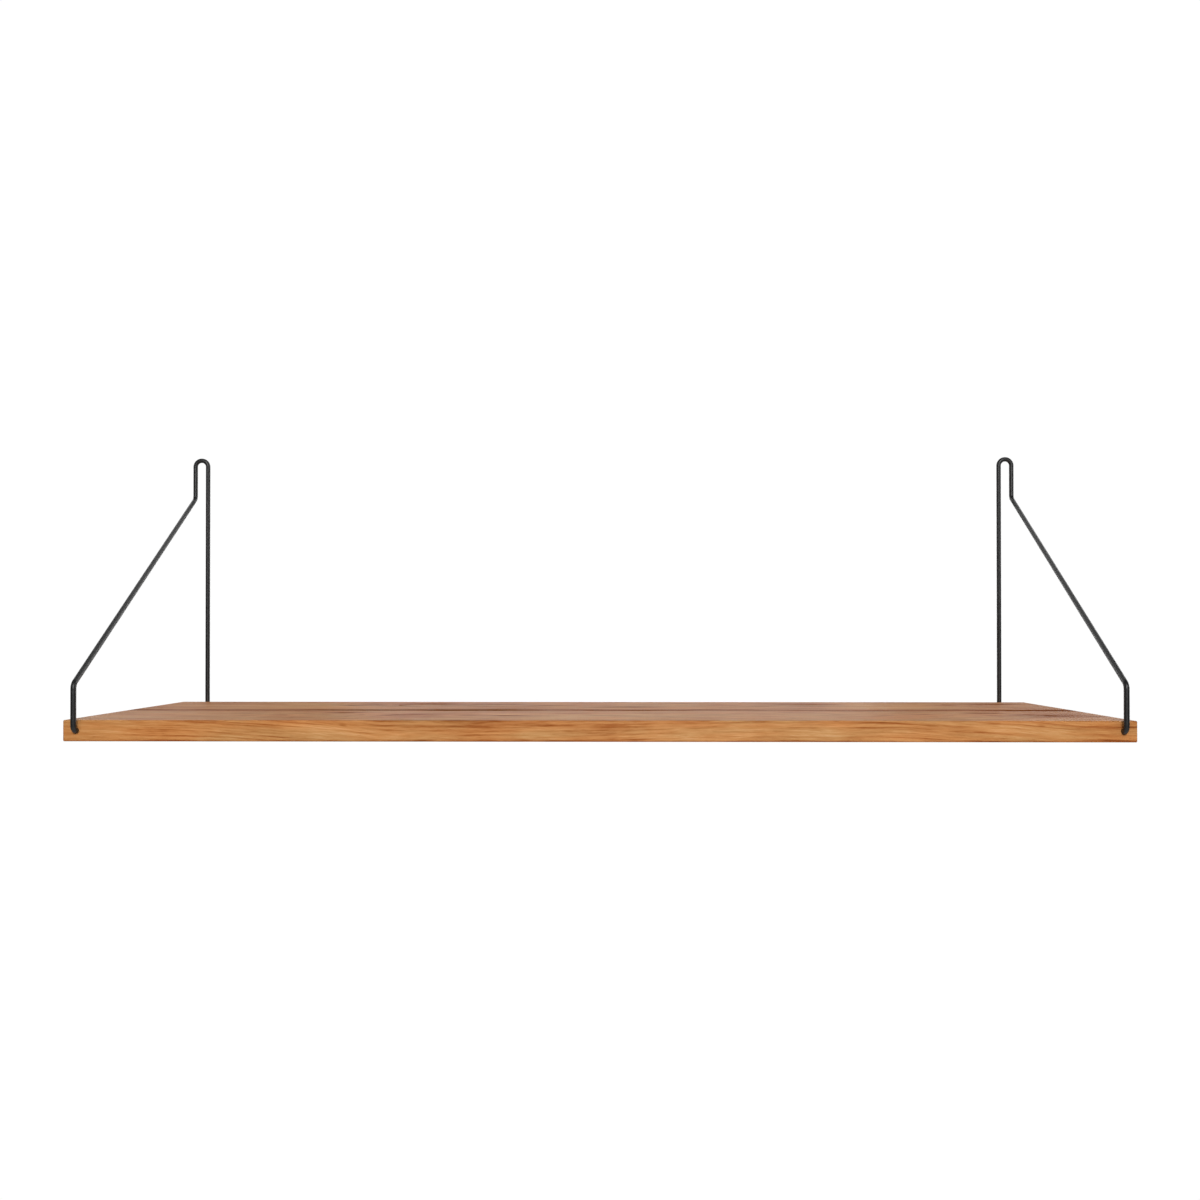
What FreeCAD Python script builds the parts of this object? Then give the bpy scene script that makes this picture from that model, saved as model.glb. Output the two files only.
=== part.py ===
import FreeCAD, Part
import math
import os

# Wall shelf: a solid-wood board carried by two bent-wire brackets.
# Millimetres.  X runs along the board (+X to the right seen from the room),
# +Y points to the wall, +Z is up.  The wall is the plane Y = 0.
# Origin: in the wall plane, midway between the two hanging loops, at the height
# of the centre of their round tops, where the wall screws sit.

V = FreeCAD.Vector

# --- board ---
BOARD_LENGTH = 800.0
BOARD_DEPTH = 270.0
BOARD_THICKNESS = 16.0
EDGE_ROUNDING = 1.0          # eased outer edges
JOINT_EASING = 0.25          # tiny chamfer along the glued joint between the staves

# --- bracket wire ---
WIRE_DIAMETER = 4.2          # 4 mm steel wire and 0.1 mm of powder coat all round
HOOK_BEND = 5.0              # centreline radius where the wire turns into the board
CORNER_BEND = 6.0            # centreline radius at both ends of the diagonal
LOOP_BEND = 6.0              # centreline radius of the hanging loop's round top
END_INSET = 10.0             # front leg and diagonal, in from the board's end
HOOK_DEPTH = 20.0            # how far a hook reaches into the board
END_CHAMFER = 0.4            # at the cut ends of the wire

# --- heights above the board's top surface ---
LOOP_CENTRE_HEIGHT = 225.0
UPPER_CORNER_HEIGHT = 194.0
LOWER_CORNER_HEIGHT = 27.0

# --- holes in the board's front and rear edges ---
HOLE_DIAMETER = 4.4

# --- worked out from the above ---
WIRE_RADIUS = WIRE_DIAMETER / 2
BOARD_TOP = -LOOP_CENTRE_HEIGHT
BOARD_BOTTOM = BOARD_TOP - BOARD_THICKNESS
HOLE_HEIGHT = BOARD_TOP - BOARD_THICKNESS / 2
REAR_WIRE_Y = -WIRE_RADIUS
REAR_EDGE_Y = REAR_WIRE_Y - HOOK_BEND
FRONT_EDGE_Y = REAR_EDGE_Y - BOARD_DEPTH
FRONT_WIRE_Y = FRONT_EDGE_Y - HOOK_BEND
JOINT_Y = (FRONT_EDGE_Y + REAR_EDGE_Y) / 2
FRONT_LEG_X = BOARD_LENGTH / 2 - END_INSET
REAR_LEG_X = FRONT_LEG_X - 2 * LOOP_BEND
LEFT, RIGHT = -1, 1
SAME = 1e-6                  # lengths closer than this count as equal


def edges_along(shape, direction, keep):
    """The straight edges parallel to a direction whose middle passes the test."""
    found = []
    for edge in shape.Edges:
        run = edge.Vertexes[-1].Point - edge.Vertexes[0].Point
        is_parallel = run.Length > SAME and run.cross(direction).Length < SAME * run.Length
        if is_parallel and keep(edge.CenterOfMass):
            found.append(edge)
    return found


def hook_hole(x, edge_y, inward):
    """The drill for one hook: from the board's edge, inward by the hook's depth."""
    return Part.makeCylinder(HOLE_DIAMETER / 2, HOOK_DEPTH, V(x, edge_y, HOLE_HEIGHT), V(0, inward, 0))


def stave(near_y, far_y, outer_y, hole_x, inward):
    """One board stave between two Y planes, eased, with a hook hole near each end."""
    corner = V(-BOARD_LENGTH / 2, near_y, BOARD_BOTTOM)
    blank = Part.makeBox(BOARD_LENGTH, far_y - near_y, BOARD_THICKNESS, corner)

    def on_joint(point):
        return abs(point.y - JOINT_Y) < SAME

    def on_outer_edge(point):
        return abs(point.y - outer_y) < SAME

    def on_board_end(point):
        return abs(abs(point.x) - BOARD_LENGTH / 2) < SAME

    blank = blank.makeChamfer(JOINT_EASING, edges_along(blank, V(1, 0, 0), on_joint))
    rounded = edges_along(blank, V(1, 0, 0), on_outer_edge)
    rounded += edges_along(blank, V(0, 0, 1), on_outer_edge)
    rounded += edges_along(blank, V(0, 1, 0), on_board_end)
    blank = blank.makeFillet(EDGE_ROUNDING, rounded)

    for side in (LEFT, RIGHT):
        blank = blank.cut(hook_hole(side * hole_x, outer_y, inward))
    return blank


def front_stave():
    return stave(FRONT_EDGE_Y, JOINT_Y, FRONT_EDGE_Y, FRONT_LEG_X, 1)


def rear_stave():
    return stave(JOINT_Y, REAR_EDGE_Y, REAR_EDGE_Y, REAR_LEG_X, -1)


def bent_path(corners, radii):
    """A wire of straight runs joined by tangent arcs: one radius for each inner corner."""
    edges = []
    start = corners[0]
    for before, corner, after, radius in zip(corners, corners[1:], corners[2:], radii):
        into = (corner - before).normalize()
        out = (after - corner).normalize()
        turn = into.getAngle(out)
        setback = radius * math.tan(turn / 2)
        arc_start = corner - into * setback
        arc_end = corner + out * setback
        bisector = (out - into).normalize()
        arc_middle = corner + bisector * (radius / math.cos(turn / 2) - radius)
        if (arc_start - start).Length > SAME:
            edges.append(Part.makeLine(start, arc_start))
        edges.append(Part.Arc(arc_start, arc_middle, arc_end).toShape())
        start = arc_end
    edges.append(Part.makeLine(start, corners[-1]))
    return edges


def swept_wire(edges):
    """Round wire along the path: a cylinder for each run and a torus piece for each bend."""
    pieces = []
    for edge in edges:
        start = edge.valueAt(edge.FirstParameter)
        tangent = edge.tangentAt(edge.FirstParameter)
        section = Part.Wire(Part.makeCircle(WIRE_RADIUS, start, tangent))
        disc = Part.Face(section)
        if isinstance(edge.Curve, Part.Circle):
            angle = math.degrees(edge.LastParameter - edge.FirstParameter)
            pieces.append(disc.revolve(edge.Curve.Center, edge.Curve.Axis, angle))
        else:
            pieces.append(disc.extrude(tangent * edge.Length))
    solid = pieces[0]
    for piece in pieces[1:]:
        solid = solid.fuse(piece)
    return solid


def chamfer_cut_ends(solid):
    """Break the sharp rims of the two flat cut ends."""
    rims = []
    for face in solid.Faces:
        if isinstance(face.Surface, Part.Plane):
            rims += face.Edges
    return solid.makeChamfer(END_CHAMFER, rims)


def bracket(side):
    """One bracket, bent from a single wire: front hook, front leg, diagonal,
    hanging loop against the wall, rear leg and rear hook."""
    front_x = side * FRONT_LEG_X
    rear_x = side * REAR_LEG_X
    lower_z = BOARD_TOP + LOWER_CORNER_HEIGHT
    upper_z = BOARD_TOP + UPPER_CORNER_HEIGHT
    corners = [
        V(front_x, FRONT_EDGE_Y + HOOK_DEPTH, HOLE_HEIGHT),
        V(front_x, FRONT_WIRE_Y, HOLE_HEIGHT),
        V(front_x, FRONT_WIRE_Y, lower_z),
        V(front_x, REAR_WIRE_Y, upper_z),
        V(front_x, REAR_WIRE_Y, LOOP_BEND),
        V(rear_x, REAR_WIRE_Y, LOOP_BEND),
        V(rear_x, REAR_WIRE_Y, HOLE_HEIGHT),
        V(rear_x, REAR_EDGE_Y - HOOK_DEPTH, HOLE_HEIGHT),
    ]
    radii = [HOOK_BEND, CORNER_BEND, CORNER_BEND, LOOP_BEND, LOOP_BEND, HOOK_BEND]
    return chamfer_cut_ends(swept_wire(bent_path(corners, radii)))


PIECES = {
    "front_stave": front_stave(),
    "rear_stave": rear_stave(),
    "bracket_left": bracket(LEFT),
    "bracket_right": bracket(RIGHT),
}

os.makedirs("parts", exist_ok=True)
for name, shape in PIECES.items():
    if not shape.isValid() or len(shape.Solids) != 1:
        raise ValueError(name + " is not one valid solid")
    shape.Solids[0].exportStep("parts/" + name + ".step")
    box = shape.BoundBox
    print(
        f"{name}: {shape.Volume / 1000:.2f} cm3, "
        f"X {box.XMin:.2f}..{box.XMax:.2f}  Y {box.YMin:.2f}..{box.YMax:.2f}  Z {box.ZMin:.2f}..{box.ZMax:.2f}"
    )
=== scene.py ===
import math

import bmesh
import bpy
from mathutils import Matrix, Vector


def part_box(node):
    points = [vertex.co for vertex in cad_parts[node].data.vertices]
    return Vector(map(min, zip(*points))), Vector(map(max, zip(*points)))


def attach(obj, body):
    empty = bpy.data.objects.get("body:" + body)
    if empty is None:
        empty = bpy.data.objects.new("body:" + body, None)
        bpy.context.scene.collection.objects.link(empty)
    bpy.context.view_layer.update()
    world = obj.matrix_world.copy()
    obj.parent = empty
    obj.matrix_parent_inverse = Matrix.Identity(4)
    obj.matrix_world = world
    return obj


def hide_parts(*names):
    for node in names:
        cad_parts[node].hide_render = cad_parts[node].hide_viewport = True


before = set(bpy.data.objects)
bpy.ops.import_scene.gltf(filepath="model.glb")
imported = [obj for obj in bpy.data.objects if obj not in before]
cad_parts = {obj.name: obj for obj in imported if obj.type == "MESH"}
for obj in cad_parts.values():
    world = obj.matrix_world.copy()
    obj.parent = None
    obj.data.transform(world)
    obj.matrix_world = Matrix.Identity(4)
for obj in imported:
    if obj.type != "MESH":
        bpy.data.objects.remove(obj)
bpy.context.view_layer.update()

# Wall shelf: an oiled-wood board of two glued staves, hung from two bent black wires.
# Metres, Z up.  +Y points to the wall, so the room is on the -Y side.

MM = 0.001

# --- board, from the CAD staves ---
front_low, front_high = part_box("front_stave")
rear_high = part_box("rear_stave")[1]
BOARD_TOP = front_high.z
BOARD_BOTTOM = front_low.z
FRONT_EDGE_Y = front_low.y
JOINT_Y = front_high.y
REAR_EDGE_Y = rear_high.y
HALF_LENGTH = front_high.x
HOLE_HEIGHT = (BOARD_TOP + BOARD_BOTTOM) / 2
EDGE_ROUNDING = 1.0 * MM
JOINT_EASING = 0.25 * MM

# --- bracket wire; the centre line comes from the CAD bracket's box ---
WIRE_RADIUS = 2.1 * MM
HOOK_DEPTH = 20 * MM
HOLE_RADIUS = 2.2 * MM
HOLE_EASING = 0.2 * MM
END_CHAMFER = 0.4 * MM
CORNER_BEND = 6 * MM
UPPER_CORNER_HEIGHT = 194 * MM
LOWER_CORNER_HEIGHT = 27 * MM
wire_low, wire_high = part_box("bracket_right")
FRONT_LEG_X = wire_high.x - WIRE_RADIUS
REAR_LEG_X = wire_low.x + WIRE_RADIUS
FRONT_WIRE_Y = wire_low.y + WIRE_RADIUS
REAR_WIRE_Y = wire_high.y - WIRE_RADIUS
LOOP_TOP = wire_high.z - WIRE_RADIUS
HOOK_BEND = FRONT_EDGE_Y - FRONT_WIRE_Y
LOOP_BEND = (FRONT_LEG_X - REAR_LEG_X) / 2

# --- mesh fineness ---
WIRE_SIDES = 40
BEND_STEP = math.radians(5)
RUN_STEP = 6 * MM
ROUNDING_SEGMENTS = 4
HOLE_SIDES = 64
SHARP_ANGLE = math.radians(35)
SAME = MM / 1000             # lengths closer than this count as equal
SHORTEST_RUN = MM / 100      # a shorter straight run between two bends is left out
WELD_DISTANCE = MM / 10000
DRILL_OVERSHOOT = 1 * MM     # how far outside the board the drill starts

LEFT, RIGHT = -1, 1


# ------------------------------------------------------------------ meshes

def new_object(name, mesh, material=None):
    obj = bpy.data.objects.new(name, mesh)
    bpy.context.scene.collection.objects.link(obj)
    if material:
        mesh.materials.append(material)
    return obj


def mesh_from(name, bm):
    bmesh.ops.recalc_face_normals(bm, faces=bm.faces)
    mesh = bpy.data.meshes.new(name)
    bm.to_mesh(mesh)
    bm.free()
    return mesh


def mark_sharp(bm):
    """Smooth shading, broken only at edges that really are sharp."""
    for face in bm.faces:
        face.smooth = True
    for edge in bm.edges:
        if len(edge.link_faces) == 2 and edge.calc_face_angle(0) > SHARP_ANGLE:
            edge.smooth = False


def bent_path(corners, radii):
    """Points and tangents along straight runs joined by tangent arcs."""
    points, tangents = [], []

    def run(start, end):
        along = end - start
        steps = max(1, round(along.length / RUN_STEP))
        for i in range(steps):
            points.append(start + along * (i / steps))
            tangents.append(along.normalized())

    start = corners[0]
    for before, corner, after, radius in zip(corners, corners[1:], corners[2:], radii):
        into = (corner - before).normalized()
        out = (after - corner).normalized()
        turn = into.angle(out)
        arc_start = corner - into * radius * math.tan(turn / 2)
        if (arc_start - start).length > SHORTEST_RUN:
            run(start, arc_start)
        towards_centre = (out - into * math.cos(turn)).normalized()
        centre = arc_start + towards_centre * radius

        def on_arc(angle):
            inwards = towards_centre * radius * math.cos(angle)
            return centre - inwards + into * radius * math.sin(angle)

        steps = max(2, round(turn / BEND_STEP))
        for i in range(steps):
            angle = turn * i / steps
            points.append(on_arc(angle))
            tangents.append(into * math.cos(angle) + towards_centre * math.sin(angle))
        start = on_arc(turn)
    run(start, corners[-1])
    points.append(corners[-1])
    tangents.append((corners[-1] - start).normalized())
    return points, tangents


def skin(bm, rings):
    """Faces from each ring of points to the next, and a cap on the first and on the last."""
    for ring, following in zip(rings, rings[1:]):
        for k in range(len(ring)):
            nxt = (k + 1) % len(ring)
            bm.faces.new((ring[k], ring[nxt], following[nxt], following[k]))
    bm.faces.new(rings[0])
    bm.faces.new(rings[-1])


def wire_mesh(name, corners, radii):
    """Round wire swept along the path, with its two cut ends chamfered."""
    points, tangents = bent_path(corners, radii)
    points.insert(1, points[0] + tangents[0] * END_CHAMFER)
    tangents.insert(1, tangents[0])
    points.insert(-1, points[-1] - tangents[-1] * END_CHAMFER)
    tangents.insert(-1, tangents[-1])
    bm = bmesh.new()
    side = tangents[0].orthogonal().normalized()
    rings = []
    for i, (point, tangent) in enumerate(zip(points, tangents)):
        side = (side - tangent * side.dot(tangent)).normalized()
        other = tangent.cross(side)
        radius = WIRE_RADIUS - END_CHAMFER if i in (0, len(points) - 1) else WIRE_RADIUS
        ring = []
        for k in range(WIRE_SIDES):
            angle = 2 * math.pi * k / WIRE_SIDES
            outwards = side * math.cos(angle) + other * math.sin(angle)
            ring.append(bm.verts.new(point + outwards * radius))
        rings.append(ring)
    skin(bm, rings)
    bm.normal_update()
    mark_sharp(bm)
    return mesh_from(name, bm)


def bracket_corners(side):
    """The corners of one bracket's centre line, from its front hook round to its rear hook."""
    front_x = side * FRONT_LEG_X
    rear_x = side * REAR_LEG_X
    return [
        Vector((front_x, FRONT_EDGE_Y + HOOK_DEPTH, HOLE_HEIGHT)),
        Vector((front_x, FRONT_WIRE_Y, HOLE_HEIGHT)),
        Vector((front_x, FRONT_WIRE_Y, BOARD_TOP + LOWER_CORNER_HEIGHT)),
        Vector((front_x, REAR_WIRE_Y, BOARD_TOP + UPPER_CORNER_HEIGHT)),
        Vector((front_x, REAR_WIRE_Y, LOOP_TOP)),
        Vector((rear_x, REAR_WIRE_Y, LOOP_TOP)),
        Vector((rear_x, REAR_WIRE_Y, HOLE_HEIGHT)),
        Vector((rear_x, REAR_EDGE_Y - HOOK_DEPTH, HOLE_HEIGHT)),
    ]


BRACKET_BENDS = [HOOK_BEND, CORNER_BEND, CORNER_BEND, LOOP_BEND, LOOP_BEND, HOOK_BEND]


def edges_where(bm, test):
    """Edges whose two ends both pass the test."""
    return [e for e in bm.edges if all(test(v.co) for v in e.verts)]


def near(a, b):
    return abs(a - b) < SAME


def hook_drill(x, edge_y, inward):
    """A drill the shape of one hook hole, with a lightly eased mouth."""
    bm = bmesh.new()
    mouth = HOLE_RADIUS + HOLE_EASING
    profile = ((-DRILL_OVERSHOOT, mouth), (0, mouth), (HOLE_EASING, HOLE_RADIUS), (HOOK_DEPTH, HOLE_RADIUS))
    rings = []
    for depth, radius in profile:
        ring = []
        for k in range(HOLE_SIDES):
            angle = 2 * math.pi * k / HOLE_SIDES
            rim_x = x + radius * math.cos(angle)
            rim_z = HOLE_HEIGHT + radius * math.sin(angle)
            ring.append(bm.verts.new((rim_x, edge_y + inward * depth, rim_z)))
        rings.append(ring)
    skin(bm, rings)
    return new_object("drill", mesh_from("drill", bm))


def stave_mesh(name, near_y, far_y, outer_y, hole_x, inward):
    """One stave: eased along the glued joint, rounded on its outer edges, drilled for the hooks."""
    bm = bmesh.new()
    bmesh.ops.create_cube(bm, size=1)
    size = Vector((2 * HALF_LENGTH, far_y - near_y, BOARD_TOP - BOARD_BOTTOM))
    middle = Vector((0, (near_y + far_y) / 2, HOLE_HEIGHT))
    placement = Matrix.Translation(middle) @ Matrix.Diagonal(size.to_4d())
    bmesh.ops.transform(bm, matrix=placement, verts=bm.verts)
    joint_edges = [e for e in edges_where(bm, lambda p: near(p.y, JOINT_Y))
                   if near(e.verts[0].co.z, e.verts[1].co.z)]
    bmesh.ops.bevel(bm, geom=joint_edges, offset=JOINT_EASING, segments=1, affect="EDGES")
    outer_edges = edges_where(bm, lambda p: near(p.y, outer_y))
    # The long edges at the two ends; the short ones across the joint's easing stay as they are.
    end_edges = [e for e in bm.edges if abs(e.verts[0].co.y - e.verts[1].co.y) > EDGE_ROUNDING
                 and near(e.verts[0].co.x, e.verts[1].co.x)]
    bmesh.ops.bevel(bm, geom=outer_edges + end_edges, offset=EDGE_ROUNDING,
                    segments=ROUNDING_SEGMENTS, profile=0.5, affect="EDGES")
    blank = new_object(name, mesh_from(name, bm))
    drills = [hook_drill(side * hole_x, outer_y, inward) for side in (LEFT, RIGHT)]
    for drill in drills:
        cut = blank.modifiers.new("hook hole", "BOOLEAN")
        cut.object = drill
        cut.operation = "DIFFERENCE"
        cut.solver = "EXACT"
    bpy.context.view_layer.update()
    evaluated = blank.evaluated_get(bpy.context.evaluated_depsgraph_get())
    drilled = bpy.data.meshes.new_from_object(evaluated)
    for obj in [blank] + drills:
        bpy.data.objects.remove(obj)
    bm = bmesh.new()
    bm.from_mesh(drilled)
    bmesh.ops.remove_doubles(bm, verts=bm.verts, dist=WELD_DISTANCE)
    bm.normal_update()
    mark_sharp(bm)
    return mesh_from(name, bm)


# --------------------------------------------------------------- materials

# Sockets of a mix node that works on colours.
COLOUR_A, COLOUR_B, COLOUR_OUT = 6, 7, 2


class Graph:
    """Short names for building a material's node tree."""

    def __init__(self, material):
        material.use_nodes = True
        self.tree = material.node_tree
        self.tree.nodes.clear()

    def add(self, kind, **settings):
        node = self.tree.nodes.new(kind)
        for key, value in settings.items():
            setattr(node, key, value)
        return node

    def feed(self, socket, value):
        if isinstance(value, bpy.types.NodeSocket):
            self.tree.links.new(value, socket)
        else:
            socket.default_value = value

    def math(self, operation, a, b=0.0):
        node = self.add("ShaderNodeMath", operation=operation)
        self.feed(node.inputs[0], a)
        self.feed(node.inputs[1], b)
        return node.outputs[0]

    def total(self, *values):
        result = values[0]
        for value in values[1:]:
            result = self.math("ADD", result, value)
        return result

    def times(self, a, b):
        return self.math("MULTIPLY", a, b)

    def stretch(self, value, low, high, new_low=0.0, new_high=1.0, smooth=True):
        """value from low..high becomes new_low..new_high, clamped."""
        node = self.add("ShaderNodeMapRange", interpolation_type="SMOOTHSTEP" if smooth else "LINEAR")
        for socket, number in zip(node.inputs, (value, low, high, new_low, new_high)):
            self.feed(socket, number)
        return node.outputs[0]

    def joined(self, x, y, z):
        node = self.add("ShaderNodeCombineXYZ")
        for socket, value in zip(node.inputs, (x, y, z)):
            self.feed(socket, value)
        return node.outputs[0]

    def scaled(self, vector, scale, shift=(0, 0, 0)):
        """vector * scale + shift, axis by axis."""
        node = self.add("ShaderNodeVectorMath", operation="MULTIPLY_ADD")
        self.feed(node.inputs[0], vector)
        node.inputs[1].default_value = scale
        node.inputs[2].default_value = shift
        return node.outputs[0]

    def noise(self, vector, detail=2.0, roughness=0.5):
        """3-D noise around 0, about -1..1; the vector sets its scale."""
        node = self.add("ShaderNodeTexNoise", noise_dimensions="3D")
        self.feed(node.inputs["Vector"], vector)
        node.inputs["Scale"].default_value = 1.0
        node.inputs["Detail"].default_value = detail
        node.inputs["Roughness"].default_value = roughness
        return self.centred(node.outputs["Fac"])

    def centred(self, value):
        """A value from 0..1 becomes -1..1."""
        node = self.add("ShaderNodeMath", operation="MULTIPLY_ADD")
        self.feed(node.inputs[0], value)
        node.inputs[1].default_value = 2.0
        node.inputs[2].default_value = -1.0
        return node.outputs[0]

    def ramp(self, value, stops):
        """Colour read off a scale of (position, colour) stops."""
        node = self.add("ShaderNodeValToRGB")
        scale = node.color_ramp.elements
        while len(scale) < len(stops):
            scale.new(1.0)
        for element, (position, colour) in zip(scale, stops):
            element.position = position
            element.color = colour
        self.feed(node.inputs[0], value)
        return node.outputs[0]

    def blend(self, amount, a, b, kind="MIX"):
        """Two colours mixed, or joined in another way that the node knows."""
        node = self.add("ShaderNodeMix", data_type="RGBA", blend_type=kind, clamp_factor=True)
        self.feed(node.inputs["Factor"], amount)
        self.feed(node.inputs[COLOUR_A], a)
        self.feed(node.inputs[COLOUR_B], b)
        return node.outputs[COLOUR_OUT]


# Wood tones from darkest to lightest, as stops along the tone scale 0..1.
WOOD_TONES = (
    (0.00, (0.150, 0.042, 0.012, 1)),
    (0.30, (0.335, 0.105, 0.024, 1)),
    (0.60, (0.505, 0.210, 0.058, 1)),
    (0.82, (0.600, 0.285, 0.094, 1)),
    (1.00, (0.680, 0.360, 0.148, 1)),
)
REDDER = (1.04, 0.91, 0.80, 1)
GREYER = (0.97, 1.05, 1.12, 1)
TINT_LIMIT = 0.5             # at this much drift either way, the wood has one tint only

# The grain bends along the board, mostly down: (from, to, drop).  It is steepest at the two swirls.
GRAIN_BENDS = (
    (-330 * MM, -158 * MM, 8.5 * MM),
    (-215 * MM, -155 * MM, 3.0 * MM),
    (-5 * MM, 130 * MM, -3.5 * MM),
    (189 * MM, 361 * MM, 8.5 * MM),
    (304 * MM, 364 * MM, 3.0 * MM),
)
SWIRLS_X = (-190 * MM, 329 * MM)
RING_WIDTH = 2.8 * MM
YEARS_VARY = 0.9             # how far rings stray from their place, in ring widths
RIPPLE_HEIGHT = 1.2 * MM
HEART_WANDER = 6 * MM
TURN_SCALE = 0.1

# Noise scales in steps per metre along x, y and z.
RIPPLE_SCALE = (13, 75, 75)
WANDER_SCALE = (4, 12, 12)
STRAY_SCALE = (7, 0, 0)
# Noise scales along the board and out from the heart line, per metre, and round it, per 10 radians.
YEARS_SCALE = (2, 110, 15)
PATCHY_SCALE = (22, 300, 50)
CLOUDS_SCALE = (16, 90, 25)
BANDS_SCALE = (9, 300, 45)
STREAKS_SCALE = (30, 800, 130)
FIBRES_SCALE = (90, 1500, 900)
DASHES_SCALE = (190, 3800, 3200)
DRIFT_SCALE = (13, 110, 20)

# A ring's dark line, as parts of the ring: it starts, is darkest, and ends with the ring.
LINE_START, LINE_DARKEST, RING_END = 0.42, 0.88, 1.0
LINE_PATCHES = (-0.3, 0.5, 0.05, 1.0)    # noise from, to; strength of the line from, to
DASH_LIMITS = (0.40, 0.62)               # dashes above these noise values are pores
PORES_IN_RING = (0.55, 0.05, 0.15, 1.0)  # part of the ring from, to; share of the pores from, to
MARK_CORE = 0.1                          # a mark is full strength within this part of its reach

# How much each part of the grain changes the tone.
CLOUDS_CHANGE = 0.27
BANDS_CHANGE = 0.13
STREAKS_CHANGE = 0.34
LINE_CHANGE = -0.42
FIBRES_CHANGE = -0.30
PORES_CHANGE = -0.30
JOINT_CHANGE = -0.36
# Painted shade: darkens the rounded lower front edge, which faces down, away from the light.
LOWER_EDGE_SHADE_CHANGE = -0.32
BOTTOM_PALER = 0.06

# The dark band along the glued joint.
BAND_OFFSET = 2.5 * MM       # its middle lies this far onto the front stave
BAND_STRAY = 4 * MM
BAND_CORE = 3 * MM           # full strength within this distance
BAND_REACH = 19 * MM         # nothing left at this distance

# How shiny and how rough to the touch the wood is.
WOOD_GLOSS = 0.25
GLOSS_TONES = (0.15, 0.60)   # from no gloss to full gloss
WOOD_ROUGHNESS = 0.52
STREAKS_ROUGHNESS = 0.05
PORES_ROUGHNESS = 0.2
WOOD_BUMP_STRENGTH = 0.35
WOOD_BUMP_HEIGHT = 0.1 * MM
FIBRES_RELIEF = -0.35
PORES_RELIEF = -1.2
LINE_RELIEF = 0.3

# Heart line (y, z), lightness and noise seed of each stave.
FRONT_WOOD = (FRONT_EDGE_Y + 60 * MM, HOLE_HEIGHT - 75 * MM, 0.74, 1.3)
REAR_WOOD = (REAR_EDGE_Y - 55 * MM, HOLE_HEIGHT + 90 * MM, 0.655, 4.9)

# Marks on the front edge near each swirl, in mm:
# x from the swirl, depth below the top, half length, half height, change of tone.
SWIRL_EDGE_MARKS = (
    (-128, 5.6, 34, 1.1, -0.20),
    (-112, 1.6, 26, 1.2, -0.26),
    (-85, 3.2, 46, 1.0, -0.16),
    (-40, 1.5, 34, 1.0, -0.20),
    (-24, 7.0, 44, 9.0, 0.11),
    (6, 8.5, 26, 6.0, 0.07),
    (0, 3.6, 5.0, 1.5, -0.26),
    (70, 5.0, 100, 1.3, -0.20),
    (32, 6.8, 34, 1.0, -0.14),
)
# The same, in the middle of the front edge; x from the middle of the board.
MIDDLE_EDGE_MARKS = (
    (-84, 6.0, 14, 1.3, -0.12),
    (-46, 3.0, 22, 3.0, -0.10),
    (8, 8.0, 30, 6.5, -0.12),
    (25, 4.7, 24, 1.1, -0.12),
    (95, 9.0, 95, 12.0, 0.07),
    (195, 8.0, 45, 14.0, -0.09),
    (-365, 8.0, 50, 12.0, 0.11),
    (-95, 12.0, 60, 6.0, -0.08),
    (365, 12.0, 60, 9.0, -0.12),
)
# Marks on the top near each swirl, in mm:
# x from the swirl, y from the joint, half length, half width, change of tone.
SWIRL_TOP_MARKS = (
    (-18, -40, 26, 12, -0.44),
    (45, -4, 85, 22, -0.17),
    (-40, 42, 60, 26, 0.15),
    (30, 98, 42, 18, -0.36),
    (-85, 60, 70, 90, 0.20),
    (95, 20, 90, 110, -0.12),
    (45, -70, 60, 60, -0.18),
)
# The same, elsewhere on the top; x from the middle of the board.
OTHER_TOP_MARKS = (
    (-78, -67, 30, 12, 0.34),
    (-105, 92, 130, 34, -0.17),
    (-5, -105, 60, 30, 0.14),
    (22, 50, 60, 30, -0.16),
    (345, -72, 66, 62, -0.24),
    (-198, 78, 52, 50, -0.15),
    (185, 88, 70, 50, -0.20),
    (35, -2, 120, 22, -0.10),
)
# How far the painted shade on the lower front edge reaches up and back.
LOWER_EDGE_SHADE_REACH = 2.4 * MM
TOP_MARK_DEPTH = 25 * MM
EDGE_MARK_DEPTH = 12 * MM


def smoothstep(value, low, high):
    """From 0 at low to 1 at high, on the curve that Graph.stretch takes."""
    t = min(max((value - low) / (high - low), 0.0), 1.0)
    return t * t * (3 - 2 * t)


def grain_sink(x):
    """How far the grain has sunk at x."""
    return sum(drop * smoothstep(x, start, end) for start, end, drop in GRAIN_BENDS)


def wood_marks():
    """All marks as (centre, reach, change of tone), placed in grain straightened along X."""
    marks = []

    def mark(x, y, z, reach, change):
        marks.append((Vector((x, y, z + grain_sink(x))), Vector(reach), change))

    edge_rows = [(swirl, row) for swirl in SWIRLS_X for row in SWIRL_EDGE_MARKS]
    edge_rows += [(0.0, row) for row in MIDDLE_EDGE_MARKS]
    for origin, (x, depth, length, height, change) in edge_rows:
        reach = (length * MM, EDGE_MARK_DEPTH, height * MM)
        mark(origin + x * MM, FRONT_EDGE_Y, BOARD_TOP - depth * MM, reach, change)
    top_rows = [(swirl, row) for swirl in SWIRLS_X for row in SWIRL_TOP_MARKS]
    top_rows += [(0.0, row) for row in OTHER_TOP_MARKS]
    for origin, (x, y, length, width, change) in top_rows:
        reach = (length * MM, width * MM, TOP_MARK_DEPTH)
        mark(origin + x * MM, JOINT_Y + y * MM, BOARD_TOP, reach, change)
    return marks


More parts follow.
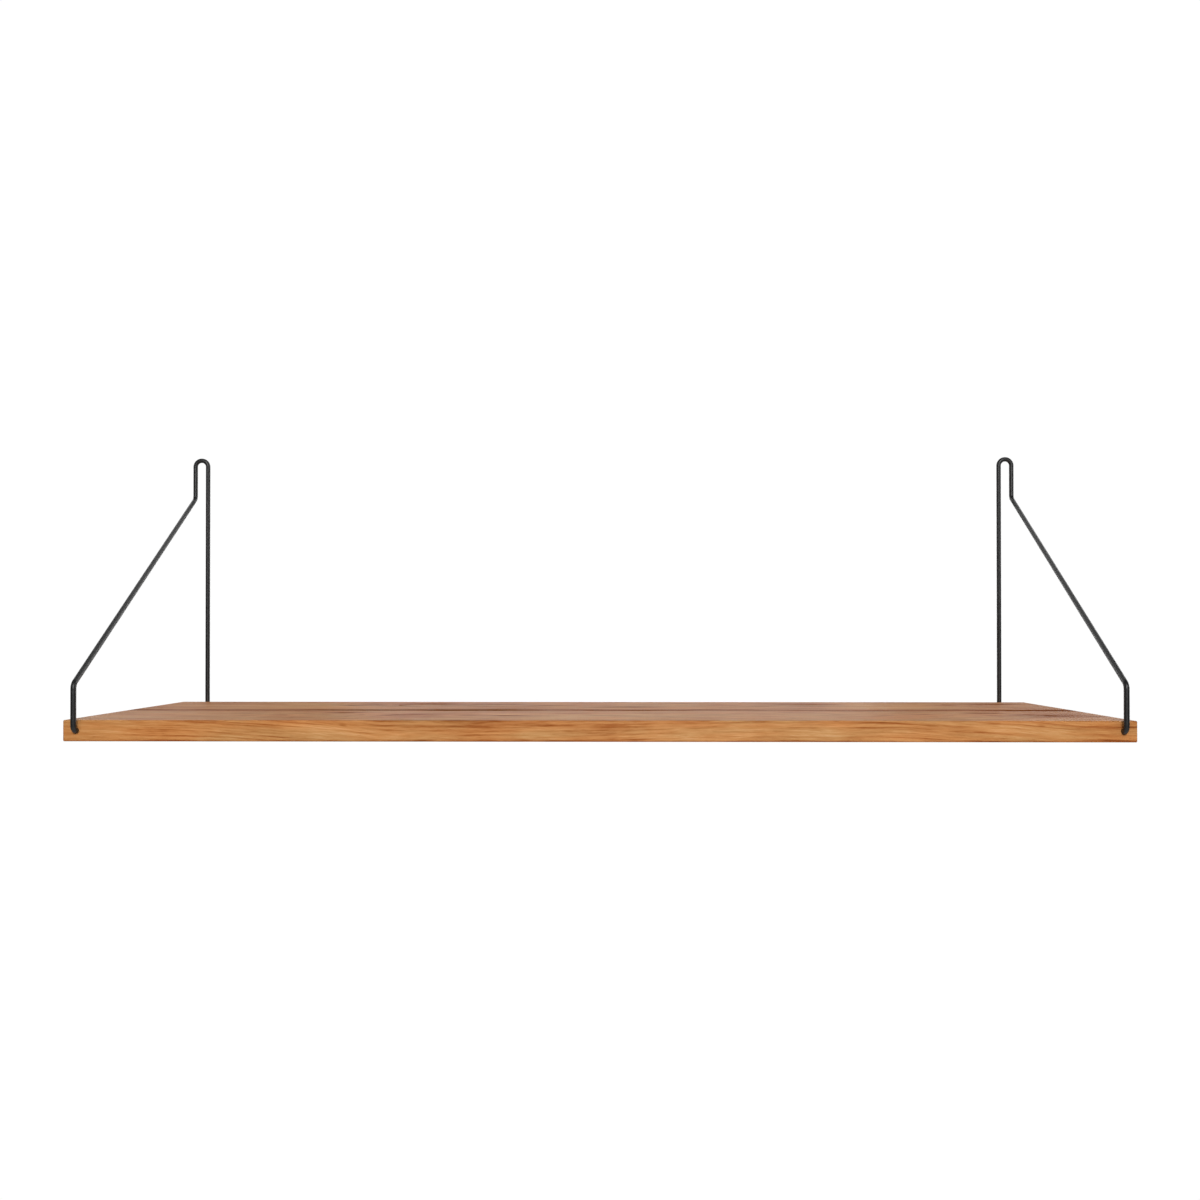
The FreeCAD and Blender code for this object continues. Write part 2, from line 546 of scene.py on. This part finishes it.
def wood_material(name, heart_y, heart_z, lightness, seed):
    """Solid wood cut from a log: growth rings round a heart line that runs roughly along X.

    heart_y and heart_z place the heart line, in metres; lightness is the tone that the rest varies about;
    seed shifts the noises, so that no two staves are alike.
    """
    material = bpy.data.materials.new(name)
    g = Graph(material)
    place = g.add("ShaderNodeTexCoord").outputs["Object"]
    split = g.add("ShaderNodeSeparateXYZ")
    g.feed(split.inputs[0], place)
    x, y, z = split.outputs

    # The heart line wanders, so the grain waves and sinks along the board.
    sinks = [g.stretch(x, start, end, 0.0, drop) for start, end, drop in GRAIN_BENDS]
    level = g.math("ADD", z, g.total(*sinks))
    straight = g.joined(x, y, level)
    ripple = g.noise(g.scaled(place, RIPPLE_SCALE, (seed, 0, 0)), detail=2)
    wander = g.noise(g.scaled(place, WANDER_SCALE, (0, seed, 0)))
    height = g.total(level, -heart_z, g.times(ripple, RIPPLE_HEIGHT))
    across = g.total(y, -heart_y, g.times(wander, HEART_WANDER))
    radius = g.math("SQRT", g.math("ADD", g.times(across, across), g.times(height, height)))
    turn = g.times(g.math("ARCTAN2", across, height), TURN_SCALE)
    grain = g.joined(x, radius, turn)

    # Growth rings: pale early wood that darkens, then stops sharply at the year's end.
    years = g.noise(g.scaled(grain, YEARS_SCALE, (seed, 0, 0)), detail=2)
    ring = g.math("FRACT", g.math("ADD", g.times(radius, 1 / RING_WIDTH), g.times(years, YEARS_VARY)))
    line = g.times(g.stretch(ring, LINE_START, LINE_DARKEST), g.stretch(ring, RING_END, LINE_DARKEST))
    patchy = g.noise(g.scaled(grain, PATCHY_SCALE, (0, seed, 3)), detail=2, roughness=0.6)
    line = g.times(line, g.stretch(patchy, *LINE_PATCHES))

    # Clouds, bands, streaks, fibres and pores, ever finer, all drawn out along the grain.
    clouds = g.noise(g.scaled(grain, CLOUDS_SCALE, (7, seed, 0)), detail=2, roughness=0.6)
    bands = g.noise(g.scaled(grain, BANDS_SCALE, (seed, 5, 0)), detail=2)
    streaks = g.noise(g.scaled(grain, STREAKS_SCALE, (0, 0, seed)), detail=3, roughness=0.6)
    fibres = g.noise(g.scaled(grain, FIBRES_SCALE, (seed, 0, 0)), detail=2, roughness=0.6)
    dashes = g.noise(g.scaled(grain, DASHES_SCALE, (0, seed, 0)), detail=0)
    pores = g.times(g.stretch(dashes, *DASH_LIMITS), g.stretch(ring, *PORES_IN_RING))

    # A dark band along the glued joint, a little further onto the front stave, and not quite straight.
    stray = g.times(g.noise(g.scaled(place, STRAY_SCALE, (0, 2, 0)), detail=1), BAND_STRAY)
    from_band = g.math("ABSOLUTE", g.total(y, BAND_OFFSET - JOINT_Y, stray))
    joint_band = g.stretch(from_band, BAND_CORE, BAND_REACH, 1.0, 0.0)

    # Painted shade: the lower front edge is darkened where its rounding faces down and gets less light.
    lower_edge_shade = g.times(
        g.stretch(z, BOARD_BOTTOM, BOARD_BOTTOM + LOWER_EDGE_SHADE_REACH, 1.0, 0.0),
        g.stretch(y, FRONT_EDGE_Y, FRONT_EDGE_Y + LOWER_EDGE_SHADE_REACH, 1.0, 0.0))

    at_bottom, at_top = lightness + BOTTOM_PALER, lightness - BOTTOM_PALER
    tone = g.total(
        g.stretch(z, BOARD_BOTTOM, BOARD_TOP, at_bottom, at_top, smooth=False),
        g.times(clouds, CLOUDS_CHANGE),
        g.times(bands, BANDS_CHANGE),
        g.times(streaks, STREAKS_CHANGE),
        g.times(line, LINE_CHANGE),
        g.times(fibres, FIBRES_CHANGE),
        g.times(pores, PORES_CHANGE),
        g.times(joint_band, JOINT_CHANGE),
        g.times(lower_edge_shade, LOWER_EDGE_SHADE_CHANGE))
    for centre, reach, change in wood_marks():
        inverse = Vector([1 / r for r in reach])
        away = g.add("ShaderNodeVectorMath", operation="LENGTH")
        g.feed(away.inputs[0], g.scaled(straight, inverse, -centre * inverse))
        tone = g.math("ADD", tone, g.stretch(away.outputs["Value"], MARK_CORE, 1.0, change, 0.0))
    colour = g.ramp(tone, WOOD_TONES)
    drift = g.noise(g.scaled(grain, DRIFT_SCALE, (seed, 9, 0)), detail=2)
    tint = g.blend(g.stretch(drift, -TINT_LIMIT, TINT_LIMIT), REDDER, GREYER)
    colour = g.blend(1.0, colour, tint, kind="MULTIPLY")

    shader = g.add("ShaderNodeBsdfPrincipled")
    g.feed(shader.inputs["Base Color"], colour)
    roughness = g.total(g.times(streaks, STREAKS_ROUGHNESS), g.times(pores, PORES_ROUGHNESS), WOOD_ROUGHNESS)
    g.feed(shader.inputs["Roughness"], roughness)
    gloss = g.stretch(tone, *GLOSS_TONES, 0.0, WOOD_GLOSS, smooth=False)
    g.feed(shader.inputs["Specular IOR Level"], gloss)
    bump = g.add("ShaderNodeBump")
    bump.inputs["Strength"].default_value = WOOD_BUMP_STRENGTH
    bump.inputs["Distance"].default_value = WOOD_BUMP_HEIGHT
    relief = g.total(g.times(fibres, FIBRES_RELIEF), g.times(pores, PORES_RELIEF), g.times(line, LINE_RELIEF))
    g.feed(bump.inputs["Height"], relief)
    g.feed(shader.inputs["Normal"], bump.outputs[0])
    g.feed(g.add("ShaderNodeOutputMaterial").inputs["Surface"], shader.outputs[0])
    return material


# The wire's coat: two blacks, and a fine orange-peel skin.
COAT_DARK = (0.007, 0.007, 0.0075, 1)
COAT_PALE = (0.012, 0.012, 0.012, 1)
PEEL_SCALE = (600, 600, 600)
PATCHES_SCALE = (90, 90, 90)
COAT_ROUGHNESS = 0.42
PATCHES_ROUGHNESS = 0.03
PEEL_ROUGHNESS = 0.01
COAT_IOR = 1.5
PEEL_STRENGTH = 0.12
PEEL_HEIGHT = 0.03 * MM


def wire_material():
    """Satin black powder coat: a faint orange-peel skin over steel wire."""
    material = bpy.data.materials.new("black_powder_coat")
    g = Graph(material)
    place = g.add("ShaderNodeTexCoord").outputs["Object"]
    peel = g.noise(g.scaled(place, PEEL_SCALE), detail=1)
    patches = g.noise(g.scaled(place, PATCHES_SCALE), detail=2)
    shader = g.add("ShaderNodeBsdfPrincipled")
    g.feed(shader.inputs["Base Color"], g.blend(g.stretch(patches, -1, 1), COAT_DARK, COAT_PALE))
    roughness = g.total(g.times(patches, PATCHES_ROUGHNESS), g.times(peel, PEEL_ROUGHNESS), COAT_ROUGHNESS)
    g.feed(shader.inputs["Roughness"], roughness)
    shader.inputs["IOR"].default_value = COAT_IOR
    bump = g.add("ShaderNodeBump")
    bump.inputs["Strength"].default_value = PEEL_STRENGTH
    bump.inputs["Distance"].default_value = PEEL_HEIGHT
    g.feed(bump.inputs["Height"], peel)
    g.feed(shader.inputs["Normal"], bump.outputs[0])
    g.feed(g.add("ShaderNodeOutputMaterial").inputs["Surface"], shader.outputs[0])
    return material


# ------------------------------------------------------------------ pieces

def add_staves():
    rows = (
        ("front_stave", FRONT_EDGE_Y, JOINT_Y, FRONT_EDGE_Y, FRONT_LEG_X, 1,
         wood_material("oiled_wood_front", *FRONT_WOOD)),
        ("rear_stave", JOINT_Y, REAR_EDGE_Y, REAR_EDGE_Y, REAR_LEG_X, -1,
         wood_material("oiled_wood_rear", *REAR_WOOD)),
    )
    for node, near_y, far_y, outer_y, hole_x, inward, material in rows:
        mesh = stave_mesh(node + "_wood", near_y, far_y, outer_y, hole_x, inward)
        stave = new_object(node + "_wood", mesh, material)
        flat = stave.modifiers.new("flat faces", "WEIGHTED_NORMAL")
        flat.keep_sharp = True
        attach(stave, "root")
        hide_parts(node)


def add_brackets():
    material = wire_material()
    for side, node in ((LEFT, "bracket_left"), (RIGHT, "bracket_right")):
        mesh = wire_mesh(node + "_wire", bracket_corners(side), BRACKET_BENDS)
        wire = new_object(node + "_wire", mesh, material)
        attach(wire, "root")
        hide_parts(node)


# -------------------------------------------------- floor, light and camera

SEEN_WHITE = 1.02            # strength of the plain white that the camera sees
FLOOR_COLOUR = (0.8, 0.8, 0.8, 1)
FLOOR_DROP = 1.1             # metres below the board
FLOOR_RADIUS = 12.0
FLOOR_SIDES = 64
FILL_STRENGTH = 0.03

# name, azimuth and elevation in degrees, distance, width and height in metres, power in watts
SOFTBOXES = (
    ("key", 5, 26, 3.0, 1.0, 1.0, 58),
    ("key_low", 7, 8, 3.0, 1.0, 0.6, 6),
    ("key_left", -30, 20, 3.0, 1.0, 1.0, 6),
    ("key_right", 45, 20, 3.0, 1.0, 1.0, 6),
    ("back_low", 180, 3, 2.6, 1.5, 0.5, 10.7),
    ("back_high", 180, 55, 2.6, 2.0, 1.2, 10),
    ("back_left", 215, 30, 2.6, 1.0, 1.2, 9),
    ("back_right", 145, 30, 2.6, 1.0, 1.2, 11),
    ("back_far_left", 240, 15, 2.6, 1.0, 1.4, 11),
    ("back_far_right", 120, 15, 2.6, 1.0, 1.4, 18),
)
AIM = Vector((0, (FRONT_EDGE_Y + REAR_EDGE_Y) / 2, BOARD_TOP))

# The camera: millimetres for its lens, metres and degrees for its place.
SENSOR_WIDTH = 36
LENS_LENGTH = 39.13
LENS_SHIFT = 0.0206
CLIP_START, CLIP_END = 0.05, 60
EYE_X = 0.0153
EYE_BEFORE_BOARD = 0.9711
EYE_ABOVE_BOARD = 0.0634
LOOK_UP = 0.464
LOOK_LEFT = 0.780


def seen_white(g, lighting):
    """The camera sees plain white; the object is lit by the shader given."""
    rays = g.add("ShaderNodeLightPath")
    white = g.add("ShaderNodeEmission")
    white.inputs["Strength"].default_value = SEEN_WHITE
    mix = g.add("ShaderNodeMixShader")
    g.feed(mix.inputs[0], rays.outputs["Is Camera Ray"])
    g.feed(mix.inputs[1], lighting)
    g.feed(mix.inputs[2], white.outputs[0])
    return mix.outputs[0]


def add_floor():
    material = bpy.data.materials.new("pale_floor")
    g = Graph(material)
    pale = g.add("ShaderNodeBsdfDiffuse")
    pale.inputs["Color"].default_value = FLOOR_COLOUR
    g.feed(g.add("ShaderNodeOutputMaterial").inputs["Surface"], seen_white(g, pale.outputs[0]))
    bm = bmesh.new()
    bmesh.ops.create_circle(bm, cap_ends=True, segments=FLOOR_SIDES, radius=FLOOR_RADIUS)
    mesh = mesh_from("floor", bm)
    mesh.transform(Matrix.Translation((0, 0, BOARD_BOTTOM - FLOOR_DROP)))
    floor = new_object("floor", mesh, material)


def add_world():
    world = bpy.data.worlds.new("studio")
    bpy.context.scene.world = world
    world.use_nodes = True
    tree = world.node_tree
    tree.nodes.clear()
    rays = tree.nodes.new("ShaderNodeLightPath")
    fill = tree.nodes.new("ShaderNodeBackground")
    fill.inputs["Strength"].default_value = FILL_STRENGTH
    seen = tree.nodes.new("ShaderNodeBackground")
    seen.inputs["Strength"].default_value = SEEN_WHITE
    mix = tree.nodes.new("ShaderNodeMixShader")
    out = tree.nodes.new("ShaderNodeOutputWorld")
    tree.links.new(rays.outputs["Is Camera Ray"], mix.inputs[0])
    tree.links.new(fill.outputs[0], mix.inputs[1])
    tree.links.new(seen.outputs[0], mix.inputs[2])
    tree.links.new(mix.outputs[0], out.inputs["Surface"])
    for background in (fill, seen):
        background.inputs["Color"].default_value = (1, 1, 1, 1)


def add_softbox(name, azimuth, elevation, distance, width, height, power):
    """A soft light aimed at the shelf; azimuth 0 is straight in front, positive to the right."""
    light = bpy.data.lights.new(name, "AREA")
    light.shape = "RECTANGLE"
    light.size = width
    light.size_y = height
    light.energy = power
    lamp = bpy.data.objects.new(name, light)
    bpy.context.scene.collection.objects.link(lamp)
    a, e = math.radians(azimuth), math.radians(elevation)
    towards = Vector((math.sin(a) * math.cos(e), -math.cos(a) * math.cos(e), math.sin(e)))
    lamp.location = AIM + towards * distance
    lamp.rotation_mode = "QUATERNION"
    lamp.rotation_quaternion = (-towards).to_track_quat("-Z", "Y")
    lamp.visible_camera = False


def add_camera():
    """Eye a little above the board, straight in front, looking almost level."""
    camera = bpy.data.cameras.new("camera")
    camera.sensor_width = SENSOR_WIDTH
    camera.lens = LENS_LENGTH
    camera.shift_y = LENS_SHIFT
    camera.clip_start = CLIP_START
    camera.clip_end = CLIP_END
    eye = bpy.data.objects.new("camera", camera)
    bpy.context.scene.collection.objects.link(eye)
    eye.location = (EYE_X, FRONT_EDGE_Y - EYE_BEFORE_BOARD, BOARD_TOP + EYE_ABOVE_BOARD)
    eye.rotation_euler = (math.radians(90 + LOOK_UP), 0, math.radians(LOOK_LEFT))
    bpy.context.scene.camera = eye


add_camera()
add_staves()
add_brackets()
add_floor()
add_world()
for softbox in SOFTBOXES:
    add_softbox(*softbox)
bpy.context.scene.view_settings.view_transform = "Standard"
